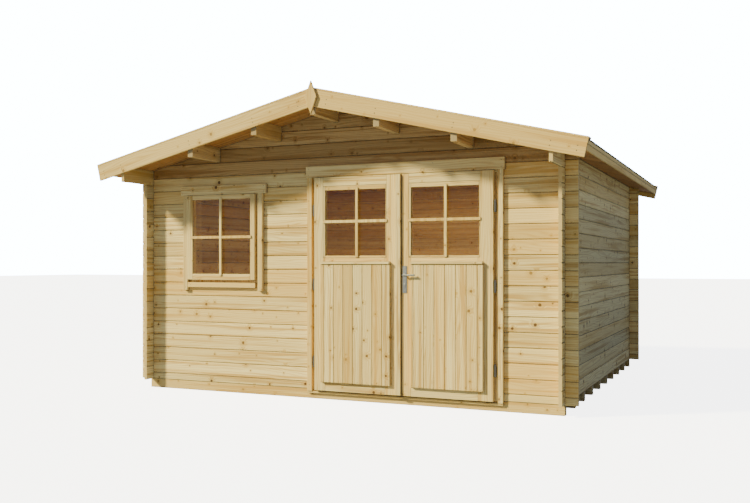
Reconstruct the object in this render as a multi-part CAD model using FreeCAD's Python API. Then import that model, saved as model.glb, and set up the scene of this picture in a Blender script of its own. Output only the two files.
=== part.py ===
import FreeCAD, Part
import math
import os

os.makedirs("parts", exist_ok=True)
V = FreeCAD.Vector

# Millimetres, +Z up. The origin is the middle of the plan on the ground and the front faces -Y.

# Walls of stacked logs
WALL_X = 1933.0          # outer face of a side wall from the middle
WALL_Y = 1750.0          # outer face of the front and rear walls from the middle
LOG_T = 28.0             # thickness of a log
LOG_H = 120.0            # height of one course
LOG_END = 102.0          # length of a log end beyond the crossing wall
BASE_Z = 80.0            # underside of the lowest logs
SIDE_COURSES = 15        # full side courses under the plate
LOG_GAP = 0.4            # play between two courses
LOG_BEVEL = 6.0          # bevel on the long edges of a log
LOG_SLIT = 1.6           # open joint at the outer face between two courses
TONGUE_W = 8.0
TONGUE_H = 7.0
NOTCH_PLAY = 0.3         # play in a corner notch
FRONT = -WALL_Y

# Bearers and floor
BEARERS = 10
BEARER_W = 60.0
FLOOR_T = 19.0

# Roof, measured in the slope: n stands square to the roof plane and starts at its underside
ROOF_TAN = 0.2382
COS = 1.0 / math.hypot(1.0, ROOF_TAN)
SIN = ROOF_TAN * COS
PLATE_RISE = 11.6        # top of the plate above a full course at the outer face of a side wall
PLATE_Z = BASE_Z + SIDE_COURSES * LOG_H
RIDGE_Z = PLATE_Z + LOG_H + PLATE_RISE + ROOF_TAN * WALL_X
SLOPE_END = (WALL_X + 239.0) / COS
BOARD_N = 19.0           # top of the roof boards
UNDERLAY_N = 67.0        # top of the stiff underlay
FELT_N = 71.0            # top of the felt
BARGE_N0 = -57.2         # lower edge of a bargeboard
BARGE_N1 = 77.8          # upper edge of a bargeboard
CAP_N1 = 93.4            # top of the cap board
BARGE_Y = WALL_Y + 440.0
BARGE_T = 20.0
CAP_W = 90.0
FASCIA_T = 20.0
FASCIA_SPLIT = 40.0
PURLIN_W = 50.0
PURLIN_H = 120.0
PURLIN_X = [555.0, 1190.0]
DIAMOND_HALF = 53.0
DIAMOND_Z = [RIDGE_Z - 123.0, RIDGE_Z + 15.0, RIDGE_Z + 147.0]

# Doorway and double door
DOOR_X0 = -236.0         # opening in the front wall
DOOR_X1 = 1428.0
DOOR_TOP = PLATE_Z + 0.5 * LOG_H
JAMB_W = 57.0
FRAME_D = 70.0
HEAD_Z = DOOR_TOP - 70.0
SILL_Z = BASE_Z + 35.0
TRIM_T = 28.0
TRIM_L = [DOOR_X0 - 27.0, DOOR_X0 + 17.0]
TRIM_R = [DOOR_X1 - 10.0, DOOR_X1 + 30.0]
LEAF_X0 = DOOR_X0 + 51.0
LEAF_X1 = DOOR_X1 - 42.0
LEAF_MID = 616.0
LEAF_SPLIT = 6.0         # slot between the leaves
LEAF_GAP = 5.0           # slot between a leaf and the fixed frame
LEAF_T = 40.0
LEAF_Z0 = BASE_Z - 2.0
LEAF_Z1 = HEAD_Z + 13.0
LEDGE_Z = [LEAF_Z0 - 30.0, LEAF_Z0 - 12.0]
LEDGE_D = 20.0
GLASS_Z1 = LEAF_Z1 - 76.0
GLASS_Z0 = GLASS_Z1 - 604.0
GLASS_IN = {"left": (85.0, 129.0), "right": (61.0, 106.0)}
PANEL_Z0 = LEAF_Z0 + 75.0
PANEL_Z1 = GLASS_Z0 - 57.0
PANEL_IN = {"left": (68.0, 91.0), "right": (83.0, 75.0)}
PANEL_T = 25.0
PANEL_LAP = 32.0         # width of frame that the boarded panel covers
CAP_RAIL_H = 25.0
CAP_RAIL_D = 34.0
STRIP_W = 44.0
STRIP_T = 18.0
HINGE_Z = [LEAF_Z0 + 242.0, LEAF_Z0 + 899.0, LEAF_Z1 - 278.0]
HINGE_H = 47.0           # half the height of a hinge barrel
HINGE_R = 9.0
PIN_R = 4.0
PIN_PLAY = 0.05
HINGE_OUT = 12.0         # hinge axis beyond the edge of the leaf
HINGE_Y = FRONT - 29.0
PEG_R = 2.5
HANDLE_X = LEAF_MID + 30.0
HANDLE_Z = PANEL_Z1 - 85.0
PLATE_HALF = 17.0
PLATE_LOW = 145.0
PLATE_HIGH = 73.0
SPINDLE_R = 4.0
GRIP_R = 7.5
GRIP_L = 100.0

# Window in the front wall
WIN_X = [421.0 - WALL_X, 1186.0 - WALL_X]
WIN_Z = [BASE_Z + 7.5 * LOG_H, BASE_Z + 14.5 * LOG_H]
WIN_RAIL = 40.0
WIN_D = 60.0
SASH_X = [WIN_X[0] + 12.0, WIN_X[1] - 36.0]
SASH_Z = [WIN_Z[0] + 28.0, WIN_Z[1] - 50.0]
PANE_X = [SASH_X[0] + 59.0, SASH_X[1] - 46.0]
PANE_Z = [SASH_Z[0] + 52.0, SASH_Z[1] - 39.0]
SASH_T = 37.0
WIN_TRIM_L = [SASH_X[0] - 49.0, SASH_X[0] - 3.0]
WIN_TRIM_R = [SASH_X[1] + 25.0, SASH_X[1] + 73.0]
WIN_HEAD_Z = [SASH_Z[1] + 3.0, SASH_Z[1] + 85.0]

REACH = 2.0 * BARGE_Y    # longer than the house, for cuts that go right through


def box(x0, x1, y0, y1, z0, z1):
    return Part.makeBox(x1 - x0, y1 - y0, z1 - z0, V(x0, y0, z0))


def extrude(points, travel):
    wire = Part.makePolygon(points + [points[0]])
    return Part.Face(wire).extrude(travel)


def prism_y(points_xz, y0, y1):
    return extrude([V(x, y0, z) for x, z in points_xz], V(0, y1 - y0, 0))


def rod(radius, start, travel):
    return Part.makeCylinder(radius, travel.Length, start, travel)


def cut_all(shape, tools):
    for tool in tools:
        shape = shape.cut(tool)
    return shape


def save(name, shapes):
    solids = []
    for shape in shapes:
        solids += [s for s in shape.Solids if s.Volume > 3000.0]
    result = solids[0] if len(solids) == 1 else Part.makeCompound(solids)
    result.exportStep("parts/" + name + ".step")


def roof_under(x):
    return RIDGE_Z - ROOF_TAN * abs(x)


def slope_point(side, s, n):
    return side * (s * COS + n * SIN), RIDGE_Z - s * SIN + n * COS


def roof_layer(side, n0, n1, s_end, y0, y1):
    inner = 0.3
    drop = inner * ROOF_TAN
    points = [
        (side * inner, RIDGE_Z + n0 / COS - drop),
        slope_point(side, s_end, n0),
        slope_point(side, s_end, n1),
        (side * inner, RIDGE_Z + n1 / COS - drop),
    ]
    return prism_y(points, y0, y1)


def eave_strip(side, s0, s1, n0, n1, y0, y1):
    corners = [(s0, n0), (s1, n0), (s1, n1), (s0, n1)]
    return prism_y([slope_point(side, s, n) for s, n in corners], y0, y1)


# One log: bevelled long edges, a tongue on top and a groove below, t runs inwards from the outer face
def log_points(z0, z1, tongue=True, groove=True):
    low = z0 + 0.5 * LOG_GAP
    slit = low + (LOG_SLIT if groove else 0.0)
    top = z1 - 0.5 * LOG_GAP
    b = LOG_BEVEL
    t0 = 0.5 * (LOG_T - TONGUE_W)
    t1 = 0.5 * (LOG_T + TONGUE_W)
    points = [(0.0, slit + b), (b, slit)]
    if groove:
        deep = low + TONGUE_H + 0.8
        points += [(t0 - 0.5, slit), (t0 - 0.5, deep), (t1 + 0.5, deep), (t1 + 0.5, low)]
    points += [(LOG_T - b, low), (LOG_T, low + b), (LOG_T, top - b), (LOG_T - b, top)]
    if tongue:
        points += [(t1, top), (t1, top + TONGUE_H), (t0, top + TONGUE_H), (t0, top)]
    points += [(b, top), (0.0, top - b)]
    return points


def log_x(wall, x0, x1, z0, z1, tongue=True, groove=True):
    points = [V(x0, wall * (WALL_Y - t), z) for t, z in log_points(z0, z1, tongue, groove)]
    return extrude(points, V(x1 - x0, 0, 0))


def log_y(wall, y0, y1, z0, z1, tongue=True, groove=True):
    points = [V(wall * (WALL_X - t), y0, z) for t, z in log_points(z0, z1, tongue, groove)]
    return extrude(points, V(0, y1 - y0, 0))


# Corner notches, a quarter of a course deep, above and below a log where the walls cross
def corner_cuts(x0, x1, y0, y1, z0, z1, low=True, high=True):
    cuts = []
    quarter = 0.25 * LOG_H + 0.5 * NOTCH_PLAY
    if low:
        cuts.append(box(x0, x1, y0, y1, z0 - 1.0, z0 + quarter))
    if high:
        cuts.append(box(x0, x1, y0, y1, z1 - quarter, z1 + TONGUE_H + 5.0))
    return cuts


def notch_x(shape, z0, z1, low=True, high=True):
    for side in (-1, 1):
        xa = side * (WALL_X + NOTCH_PLAY)
        xb = side * (WALL_X - LOG_T - NOTCH_PLAY)
        cuts = corner_cuts(min(xa, xb), max(xa, xb), -REACH, REACH, z0, z1, low, high)
        shape = cut_all(shape, cuts)
    return shape


def notch_y(shape, z0, z1, low=True, high=True):
    for side in (-1, 1):
        ya = side * (WALL_Y + NOTCH_PLAY)
        yb = side * (WALL_Y - LOG_T - NOTCH_PLAY)
        cuts = corner_cuts(-REACH, REACH, min(ya, yb), max(ya, yb), z0, z1, low, high)
        shape = cut_all(shape, cuts)
    return shape


# Bearers under the floor, the first and last flush with the wall faces
bearer_pitch = (2.0 * WALL_Y - BEARER_W) / (BEARERS - 1)
bearers = []
for i in range(BEARERS):
    y0 = FRONT + i * bearer_pitch
    bearers.append(box(-WALL_X, WALL_X, y0, y0 + BEARER_W, 0.0, BASE_Z))
save("floor_bearers", bearers)

# Floor, kept clear of the door frame
inner_x = WALL_X - LOG_T - 1.0
inner_y = WALL_Y - LOG_T - 1.0
floor = box(-inner_x, inner_x, -inner_y, inner_y, BASE_Z + 0.2, BASE_Z + FLOOR_T)
door_bay = box(DOOR_X0 - 1.0, DOOR_X1 + 1.0, -REACH, FRONT + FRAME_D + 1.0, 0.0, HEAD_Z)
save("floor_boards", [floor.cut(door_bay)])

# Front and rear walls, a half course first, then full courses up to the plate
reach_x = WALL_X + LOG_END
reach_y = WALL_Y + LOG_END
courses = [(BASE_Z, BASE_Z + 0.5 * LOG_H)]
for k in range(SIDE_COURSES):
    z0 = BASE_Z + 0.5 * LOG_H + k * LOG_H
    courses.append((z0, z0 + LOG_H))


# An opening is also cut through the tongue of the log that ends level with its head
def wall_hole(x_range, z_range, log_top):
    rise = TONGUE_H + 1.0 if log_top <= z_range[1] + 1.0 else 0.0
    return box(x_range[0], x_range[1], -REACH, 0.0, z_range[0], z_range[1] + rise)


front_left = []
front_right = []
rear = []
for z0, z1 in courses:
    first = z0 == BASE_Z
    front_log = notch_x(log_x(-1, -reach_x, reach_x, z0, z1, True, not first), z0, z1, not first)
    door_hole = wall_hole([DOOR_X0, DOOR_X1], [0.0, DOOR_TOP], z1)
    front_log = cut_all(front_log, [door_hole, wall_hole(WIN_X, WIN_Z, z1)])
    for piece in front_log.Solids:
        if piece.CenterOfMass.x < 0.5 * (DOOR_X0 + DOOR_X1):
            front_left.append(piece)
        else:
            front_right.append(piece)
    rear.append(notch_x(log_x(1, -reach_x, reach_x, z0, z1, True, not first), z0, z1, not first))
save("front_wall_left_logs", front_left)
save("front_wall_right_logs", front_right)
save("rear_wall_logs", rear)

# Side walls, half a course out of step with the front and rear
for side, name in ((-1, "left_wall_logs"), (1, "right_wall_logs")):
    logs = []
    for k in range(SIDE_COURSES):
        z0 = BASE_Z + k * LOG_H
        z1 = z0 + LOG_H
        log = log_y(side, -reach_y, reach_y, z0, z1, True, k > 0)
        logs.append(notch_y(log, z0, z1))
    save(name, logs)

# Everything under the roof is trimmed to this space, just short of the roof boards
far = WALL_X + 470.0
below = [(-far, 0.0), (far, 0.0), (far, roof_under(far) - 0.5)]
below += [(0.0, RIDGE_Z - 0.5), (-far, roof_under(far) - 0.5)]
below_roof = prism_y(below, -REACH, REACH)

# Plates: the top side logs, bevelled to the roof and running out to the bargeboards
beam_y = BARGE_Y - BARGE_T - 2.0
plates = []
for side in (-1, 1):
    log = log_y(side, -beam_y, beam_y, PLATE_Z, PLATE_Z + 1.5 * LOG_H, False, True)
    notched = notch_y(log, PLATE_Z, PLATE_Z + LOG_H)
    for wall in (-1, 1):
        ya = wall * (WALL_Y + NOTCH_PLAY)
        yb = wall * (WALL_Y - LOG_T - NOTCH_PLAY)
        notch_z = PLATE_Z + 0.75 * LOG_H - 0.5 * NOTCH_PLAY
        notched = notched.cut(box(-REACH, REACH, min(ya, yb), max(ya, yb), notch_z, REACH))
    plates.append(notched.common(below_roof))
save("wall_plates", plates)

# Purlins, their tops bevelled to the roof
def purlin(x):
    low = roof_under(x) - PURLIN_H
    beam = box(x - 0.5 * PURLIN_W, x + 0.5 * PURLIN_W, -beam_y, beam_y, low, RIDGE_Z + 50.0)
    return beam.common(below_roof)


save("ridge_purlin", [purlin(0.0)])
save("purlins", [purlin(side * x) for x in PURLIN_X for side in (-1, 1)])

# Gables: logs cut to the slope and notched round the purlins
purlin_cuts = []
for x in [0.0] + [side * x for x in PURLIN_X for side in (-1, 1)]:
    half = 0.5 * PURLIN_W + 0.4
    purlin_cuts.append(box(x - half, x + half, -REACH, REACH, roof_under(x) - PURLIN_H - 0.4, REACH))
for wall, name in ((-1, "front_gable_logs"), (1, "rear_gable_logs")):
    logs = []
    z0 = DOOR_TOP
    while z0 < RIDGE_Z - 10.0:
        half = min(reach_x, (RIDGE_Z - z0) / ROOF_TAN)
        log = log_x(wall, -half, half, z0, z0 + LOG_H)
        if z0 == DOOR_TOP:
            log = notch_x(log, z0, z0 + LOG_H, True, False)
        logs.append(cut_all(log.common(below_roof), purlin_cuts))
        z0 += LOG_H
    save(name, logs)

# Roof boards, stiff underlay and felt
roof_y = BARGE_Y - BARGE_T - 0.5
inner_end = SLOPE_END - FASCIA_T - 0.5
save("roof_boards", [roof_layer(s, 0.0, BOARD_N, inner_end, -roof_y, roof_y) for s in (-1, 1)])
underlay = [roof_layer(s, BOARD_N + 0.2, UNDERLAY_N, inner_end, -roof_y, roof_y) for s in (-1, 1)]
save("roof_underlay", underlay)

# The felt runs past the eave and turns up under the cap boards
felt_end = SLOPE_END + 3.0
felt = []
for side in (-1, 1):
    sheet = roof_layer(side, UNDERLAY_N + 0.2, FELT_N, felt_end, -roof_y, roof_y)
    for wall in (-1, 1):
        ya = wall * roof_y
        yb = wall * (BARGE_Y - CAP_W + 6.0)
        upstand_end = felt_end - 4.0
        upstand = roof_layer(side, UNDERLAY_N + 0.2, BARGE_N1 - 0.2, upstand_end, min(ya, yb), max(ya, yb))
        sheet = sheet.fuse(upstand)
    felt.append(sheet.removeSplitter())
save("roof_felt", felt)

# Bargeboards, cap boards and the diamonds at the ridge
barges = []
caps = []
diamonds = []
for wall in (-1, 1):
    ya = wall * BARGE_Y
    for side in (-1, 1):
        yb = wall * (BARGE_Y - BARGE_T)
        barges.append(roof_layer(side, BARGE_N0, BARGE_N1, SLOPE_END, min(ya, yb), max(ya, yb)))
        yb = wall * (BARGE_Y - CAP_W)
        caps.append(roof_layer(side, BARGE_N1 + 0.2, CAP_N1, SLOPE_END, min(ya, yb), max(ya, yb)))
    low, middle, high = DIAMOND_Z
    outline = [(0.0, low), (DIAMOND_HALF, middle), (0.0, high), (-DIAMOND_HALF, middle)]
    ya = wall * (BARGE_Y + 0.3)
    yb = wall * (BARGE_Y + BARGE_T)
    diamonds.append(prism_y(outline, min(ya, yb), max(ya, yb)))
save("bargeboards", barges)
save("bargeboard_caps", caps)
save("gable_diamonds", diamonds)

# Eave fascias, a lower board and a proud upper board on each side
fascias = []
for side in (-1, 1):
    s0 = SLOPE_END - FASCIA_T
    fascias.append(eave_strip(side, s0, SLOPE_END - 4.0, -3.0, FASCIA_SPLIT, -roof_y, roof_y))
    fascias.append(eave_strip(side, s0, SLOPE_END, FASCIA_SPLIT + 0.4, UNDERLAY_N, -roof_y, roof_y))
save("eave_fascias", fascias)

# Door frame in the wall: jambs, head and sill
frame_y = FRONT + FRAME_D
jamb_l = box(DOOR_X0 + 1.0, DOOR_X0 + 1.0 + JAMB_W, FRONT, frame_y, BASE_Z + 0.4, HEAD_Z - 0.4)
jamb_r = box(DOOR_X1 - 1.0 - JAMB_W, DOOR_X1 - 1.0, FRONT, frame_y, BASE_Z + 0.4, HEAD_Z - 0.4)
clear_l = DOOR_X0 + 1.0 + JAMB_W
clear_r = DOOR_X1 - 1.0 - JAMB_W
save("door_head", [box(DOOR_X0 + 1.0, DOOR_X1 - 1.0, FRONT, frame_y, HEAD_Z, DOOR_TOP - 0.6)])
save("door_sill", [box(clear_l + 0.4, clear_r - 0.4, FRONT, frame_y, BASE_Z + 0.4, SILL_Z)])

# Trims round the doorway and the weather ledge under the leaves
trim_z0 = LEDGE_Z[1] + 0.4
trim_z1 = LEAF_Z1 + LEAF_GAP
trim_l = box(TRIM_L[0], TRIM_L[1], FRONT - TRIM_T, FRONT - 0.3, trim_z0, trim_z1 - 0.4)
trim_r = box(TRIM_R[0], TRIM_R[1], FRONT - TRIM_T, FRONT - 0.3, trim_z0, trim_z1 - 0.4)
save("door_side_trims", [trim_l, trim_r])
head_x0 = TRIM_L[0] - 13.0
head_x1 = TRIM_R[1] + 14.0
save("door_head_trim", [box(head_x0, head_x1, FRONT - TRIM_T, FRONT - 0.3, trim_z1, trim_z1 + 96.0)])
save("door_ledge", [box(TRIM_L[0], TRIM_R[1], FRONT - LEDGE_D, FRONT - 0.3, LEDGE_Z[0], LEDGE_Z[1])])

# Barrel hinges: the lower half with its pin stays on the frame, the upper half turns with the leaf
axis_l = LEAF_X0 - HINGE_OUT
axis_r = LEAF_X1 + HINGE_OUT


def frame_hinge(x, z):
    half = rod(HINGE_R, V(x, HINGE_Y, z - HINGE_H), V(0, 0, HINGE_H - 0.5))
    pin = rod(PIN_R, V(x, HINGE_Y, z - 1.0), V(0, 0, HINGE_H - 13.0))
    peg = rod(PEG_R, V(x, HINGE_Y + 5.0, z - 30.0), V(0, 39.0, 0))
    return half.fuse([pin, peg])


def leaf_hinge(x, z, side):
    half = rod(HINGE_R, V(x, HINGE_Y, z + 0.5), V(0, 0, HINGE_H - 0.5))
    peg = rod(PEG_R, V(x - side * 5.5, HINGE_Y, z + 30.0), V(-side * (HINGE_OUT + 19.5), 0, 0))
    bore = rod(PIN_R + PIN_PLAY, V(x, HINGE_Y, z), V(0, 0, HINGE_H - 11.0))
    return half.fuse(peg).cut(bore)


frame_holes = []
leaf_holes = []
for x, side in ((axis_l, -1), (axis_r, 1)):
    for z in HINGE_Z:
        frame_holes.append(rod(PEG_R + 0.15, V(x, HINGE_Y + 5.0, z - 30.0), V(0, 40.0, 0)))
        reach = V(-side * (HINGE_OUT + 21.0), 0, 0)
        leaf_holes.append(rod(PEG_R + 0.15, V(x - side * 5.0, HINGE_Y, z + 30.0), reach))
save("door_jambs", [cut_all(jamb_l, frame_holes), cut_all(jamb_r, frame_holes)])
save("left_frame_hinges", [frame_hinge(axis_l, z) for z in HINGE_Z])
save("right_frame_hinges", [frame_hinge(axis_r, z) for z in HINGE_Z])
save("left_door_hinges", [leaf_hinge(axis_l, z, -1) for z in HINGE_Z])
save("right_door_hinges", [leaf_hinge(axis_r, z, 1) for z in HINGE_Z])

# Door leaves: a frame with a glazed upper part and boards nailed over the lower part
leaf_back = FRONT - LEAF_GAP
leaf_front = leaf_back - LEAF_T
face = leaf_front - 0.2
spindle_hole = rod(SPINDLE_R + 0.4, V(HANDLE_X, leaf_front - 100.0, HANDLE_Z), V(0, LEAF_T + 200.0, 0))
leaf_edges = {
    "left": (LEAF_X0, LEAF_MID - 0.5 * LEAF_SPLIT),
    "right": (LEAF_MID + 0.5 * LEAF_SPLIT, LEAF_X1),
}
for name, (x0, x1) in leaf_edges.items():
    g0 = x0 + GLASS_IN[name][0]
    g1 = x1 - GLASS_IN[name][1]
    p0 = x0 + PANEL_IN[name][0]
    p1 = x1 - PANEL_IN[name][1]
    lap = PANEL_LAP
    leaf = box(x0, x1, leaf_front, leaf_back, LEAF_Z0, LEAF_Z1)
    leaf = leaf.cut(box(g0, g1, -REACH, 0.0, GLASS_Z0, GLASS_Z1))
    leaf = leaf.cut(box(p0 + lap, p1 - lap, -REACH, 0.0, PANEL_Z0 + lap, PANEL_Z1 - lap))
    leaf = cut_all(leaf, leaf_holes)
    if name == "right":
        leaf = leaf.cut(spindle_hole)
    save(name + "_door_frame", [leaf])
    save(name + "_door_panel", [box(p0, p1, face - PANEL_T, face, PANEL_Z0, PANEL_Z1)])
    cap_z = PANEL_Z1 + 0.3
    save(name + "_door_cap_rail", [box(p0, p1, face - CAP_RAIL_D, face, cap_z, PANEL_Z1 + CAP_RAIL_H)])
    mid_y = 0.5 * (leaf_front + leaf_back)
    pane = box(g0 + 0.4, g1 - 0.4, mid_y - 2.0, mid_y + 2.0, GLASS_Z0 + 0.4, GLASS_Z1 - 0.4)
    save(name + "_door_glass", [pane])
strip_x1 = leaf_edges["left"][1]
strip = box(strip_x1 - STRIP_W, strip_x1, face - STRIP_T, face, LEAF_Z0 + 4.0, LEAF_Z1 - 1.0)
save("left_door_strip", [strip])

# Handle: a long plate on each face and one lever set on a common spindle
plates = []
for y0, y1 in ((face - 4.0, face), (leaf_back + 0.2, leaf_back + 3.2)):
    plate_x = [HANDLE_X - PLATE_HALF, HANDLE_X + PLATE_HALF]
    plate = box(plate_x[0], plate_x[1], y0, y1, HANDLE_Z - PLATE_LOW, HANDLE_Z + PLATE_HIGH)
    plates.append(plate.cut(spindle_hole))
save("right_door_plates", plates)
lever = rod(SPINDLE_R, V(HANDLE_X, leaf_front - 30.0, HANDLE_Z), V(0, LEAF_T + 60.0, 0))
for y_near, y_far in ((leaf_front - 5.0, leaf_front - 50.0), (leaf_back + 4.0, leaf_back + 46.0)):
    neck = rod(GRIP_R + 1.0, V(HANDLE_X, y_near, HANDLE_Z), V(0, y_far - y_near, 0))
    grip = rod(GRIP_R, V(HANDLE_X, y_far, HANDLE_Z), V(GRIP_L, 0, 0))
    elbow = Part.makeSphere(GRIP_R + 1.0, V(HANDLE_X, y_far, HANDLE_Z))
    tip = Part.makeSphere(GRIP_R, V(HANDLE_X + GRIP_L, y_far, HANDLE_Z))
    lever = lever.fuse([neck, grip, elbow, tip])
save("door_lever", [lever])

# Window: frame in the wall, sash, pane and trims
win_x0 = WIN_X[0] + 1.0
win_x1 = WIN_X[1] - 1.0
opening = box(win_x0, win_x1, FRONT, FRONT + WIN_D, WIN_Z[0] + 0.6, WIN_Z[1] - 0.6)
light_z = [WIN_Z[0] + WIN_RAIL, WIN_Z[1] - WIN_RAIL]
light = box(win_x0 + WIN_RAIL, win_x1 - WIN_RAIL, -REACH, 0.0, light_z[0], light_z[1])
save("window_frame", [opening.cut(light)])
sash_back = FRONT - 0.3
sash = box(SASH_X[0], SASH_X[1], sash_back - SASH_T, sash_back, SASH_Z[0], SASH_Z[1])
sash = sash.cut(box(PANE_X[0], PANE_X[1], -REACH, 0.0, PANE_Z[0], PANE_Z[1]))
save("window_sash", [sash])
mid_y = sash_back - 0.5 * SASH_T
pane_z = [PANE_Z[0] + 0.4, PANE_Z[1] - 0.4]
save("window_glass", [box(PANE_X[0] + 0.4, PANE_X[1] - 0.4, mid_y - 2.0, mid_y + 2.0, pane_z[0], pane_z[1])])
ty0 = FRONT - TRIM_T
ty1 = FRONT - 0.3
trim_z0 = WIN_Z[0] - 68.0
trim_z1 = WIN_HEAD_Z[0] - 0.4
save("window_trims", [
    box(WIN_TRIM_L[0], WIN_TRIM_L[1], ty0, ty1, trim_z0, trim_z1),
    box(WIN_TRIM_R[0], WIN_TRIM_R[1], ty0, ty1, trim_z0, trim_z1),
    box(WIN_TRIM_L[0] - 27.0, WIN_TRIM_R[1] + 37.0, ty0, ty1, WIN_HEAD_Z[0], WIN_HEAD_Z[1]),
    box(WIN_TRIM_L[1] + 0.4, SASH_X[1], ty0, ty1, WIN_Z[0] - 41.0, WIN_Z[0] + 4.0),
])
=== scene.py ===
import math
import random

import bmesh
import bpy
from mathutils import Matrix, Vector


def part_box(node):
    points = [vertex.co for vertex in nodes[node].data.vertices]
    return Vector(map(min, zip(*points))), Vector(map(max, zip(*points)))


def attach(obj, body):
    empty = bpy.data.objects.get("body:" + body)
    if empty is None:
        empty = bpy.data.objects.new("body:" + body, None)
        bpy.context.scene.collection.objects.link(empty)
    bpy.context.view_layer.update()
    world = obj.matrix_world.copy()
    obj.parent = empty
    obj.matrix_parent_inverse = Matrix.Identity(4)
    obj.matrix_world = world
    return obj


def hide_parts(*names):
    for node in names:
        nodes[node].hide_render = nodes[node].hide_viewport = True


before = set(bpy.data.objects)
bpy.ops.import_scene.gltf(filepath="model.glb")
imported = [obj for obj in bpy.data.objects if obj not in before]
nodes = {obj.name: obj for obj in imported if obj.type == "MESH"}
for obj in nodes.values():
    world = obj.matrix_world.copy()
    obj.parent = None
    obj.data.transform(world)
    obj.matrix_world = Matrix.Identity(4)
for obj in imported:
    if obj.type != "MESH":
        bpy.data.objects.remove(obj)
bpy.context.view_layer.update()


# Bearers: ten planed pine joists laid across the plan, which carry the walls and the floor.
# The first and last lie flush under the front and rear walls.
chance = random.Random(11)


def tree_node(tree, kind, values=None, **settings):
    made = tree.nodes.new("ShaderNode" + kind)
    for key, value in settings.items():
        setattr(made, key, value)
    for key, value in (values or {}).items():
        if isinstance(value, bpy.types.NodeSocket):
            tree.links.new(value, made.inputs[key])
        else:
            made.inputs[key].default_value = value
    return made


def calc(tree, operation, *terms):
    made = tree.nodes.new("ShaderNodeMath")
    made.operation = operation
    for socket, term in zip(made.inputs, terms):
        if isinstance(term, bpy.types.NodeSocket):
            tree.links.new(term, socket)
        else:
            socket.default_value = term
    return made.outputs[0]


def vector(tree, x, y, z=0.0):
    return tree_node(tree, "CombineXYZ", {0: x, 1: y, 2: z}).outputs[0]


def noise(tree, place, scale, detail):
    return tree_node(tree, "TexNoise", {"Vector": place, "Scale": scale, "Detail": detail}).outputs[0]


def ramp(tree, value, low, high, out_low=0.0, out_high=1.0):
    made = tree_node(tree, "MapRange", {0: value, 1: low, 2: high, 3: out_low, 4: out_high},
                     interpolation_type="SMOOTHSTEP")
    return made.outputs[0]


def blend_colours(tree, share, first, second, how="MIX"):
    made = tree_node(tree, "Mix", data_type="RGBA", blend_type=how)
    for index, value in ((0, share), (6, first), (7, second)):
        if isinstance(value, bpy.types.NodeSocket):
            tree.links.new(value, made.inputs[index])
        else:
            made.inputs[index].default_value = value
    return made.outputs[2]


def new_group(name, inputs, outputs):
    group = bpy.data.node_groups.new(name, "ShaderNodeTree")
    for label, kind, value in inputs:
        socket = group.interface.new_socket(label, in_out="INPUT", socket_type="NodeSocket" + kind)
        if value is not None:
            socket.default_value = value
    for label, kind in outputs:
        group.interface.new_socket(label, in_out="OUTPUT", socket_type="NodeSocket" + kind)
    return group, group.nodes.new("NodeGroupInput").outputs, group.nodes.new("NodeGroupOutput").inputs


def link_out(group, sockets, outlets):
    for name, value in outlets.items():
        group.links.new(value, sockets[name])


# Pine figure. Its vector is (along the grain, across it, into the wood) in metres.
pine_figure, take, give = new_group(
    "Pine figure",
    [("Vector", "Vector", None), ("Seed", "Float", 0.0), ("End face", "Float", 0.0),
     ("Pale wood", "Color", (0.7, 0.5, 0.25, 1)), ("Late wood", "Color", (0.5, 0.3, 0.1, 1)),
     ("Knot wood", "Color", (0.2, 0.07, 0.02, 1)), ("Growth lines", "Float", 55.0), ("Knots", "Float", 0.6)],
    [("Color", "Color"), ("Relief", "Float"), ("Knot", "Float"), ("Late", "Float")])
t = pine_figure
part = tree_node(t, "SeparateXYZ", {0: take["Vector"]}).outputs
along = calc(t, "ADD", part[0], calc(t, "MULTIPLY", take["Seed"], 37.0))
across = calc(t, "ADD", calc(t, "ADD", part[1], part[2]), calc(t, "MULTIPLY", take["Seed"], 11.0))
flat = vector(t, along, across)
KNOT_CELLS = 6.2
cell = tree_node(t, "TexVoronoi", {"Vector": flat, "Scale": KNOT_CELLS}, voronoi_dimensions="2D")
luck = tree_node(t, "SeparateColor", {0: cell.outputs["Color"]}).outputs
reach = calc(t, "DIVIDE", cell.outputs["Distance"], KNOT_CELLS)
wobble = noise(t, flat, 60.0, 2.0)
reach = calc(t, "ADD", reach, calc(t, "MULTIPLY", calc(t, "SUBTRACT", wobble, 0.5), 0.008))
size = calc(t, "MULTIPLY_ADD", calc(t, "POWER", luck[0], 1.8), 0.0095, 0.0040)
size = calc(t, "MULTIPLY", size, calc(t, "LESS_THAN", luck[1], take["Knots"]))
knot = ramp(t, calc(t, "SUBTRACT", reach, size), -0.002, 0.0015, 1.0, 0.0)
has_knot = calc(t, "GREATER_THAN", size, 0.001)
knot = calc(t, "MULTIPLY", knot, has_knot)
from_knot = calc(t, "DIVIDE", reach, calc(t, "MAXIMUM", size, 0.0005))
halo = ramp(t, from_knot, 1.0, 4.5, 1.0, 0.0)
stretch = vector(t, calc(t, "MULTIPLY", along, 0.9), calc(t, "MULTIPLY", across, 7.0))
drift = noise(t, stretch, 1.0, 2.5)
phase = calc(t, "MULTIPLY_ADD", drift, 9.0, calc(t, "MULTIPLY", across, take["Growth lines"]))
phase = calc(t, "MULTIPLY_ADD", halo, 1.6, phase)
wave = calc(t, "SINE", calc(t, "MULTIPLY", phase, 6.2832))
late = calc(t, "POWER", calc(t, "MULTIPLY_ADD", wave, 0.5, 0.5), 2.0)
fine = vector(t, calc(t, "MULTIPLY", along, 6.0), calc(t, "MULTIPLY", across, 420.0))
fibre = noise(t, fine, 1.0, 2.0)
band = vector(t, calc(t, "MULTIPLY", along, 0.7), calc(t, "MULTIPLY", across, 26.0), 3.0)
streak = noise(t, band, 1.0, 3.0)
side_share = calc(t, "ADD", calc(t, "MULTIPLY", late, 0.50), ramp(t, streak, 0.46, 0.70, 0.0, 0.95))
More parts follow.
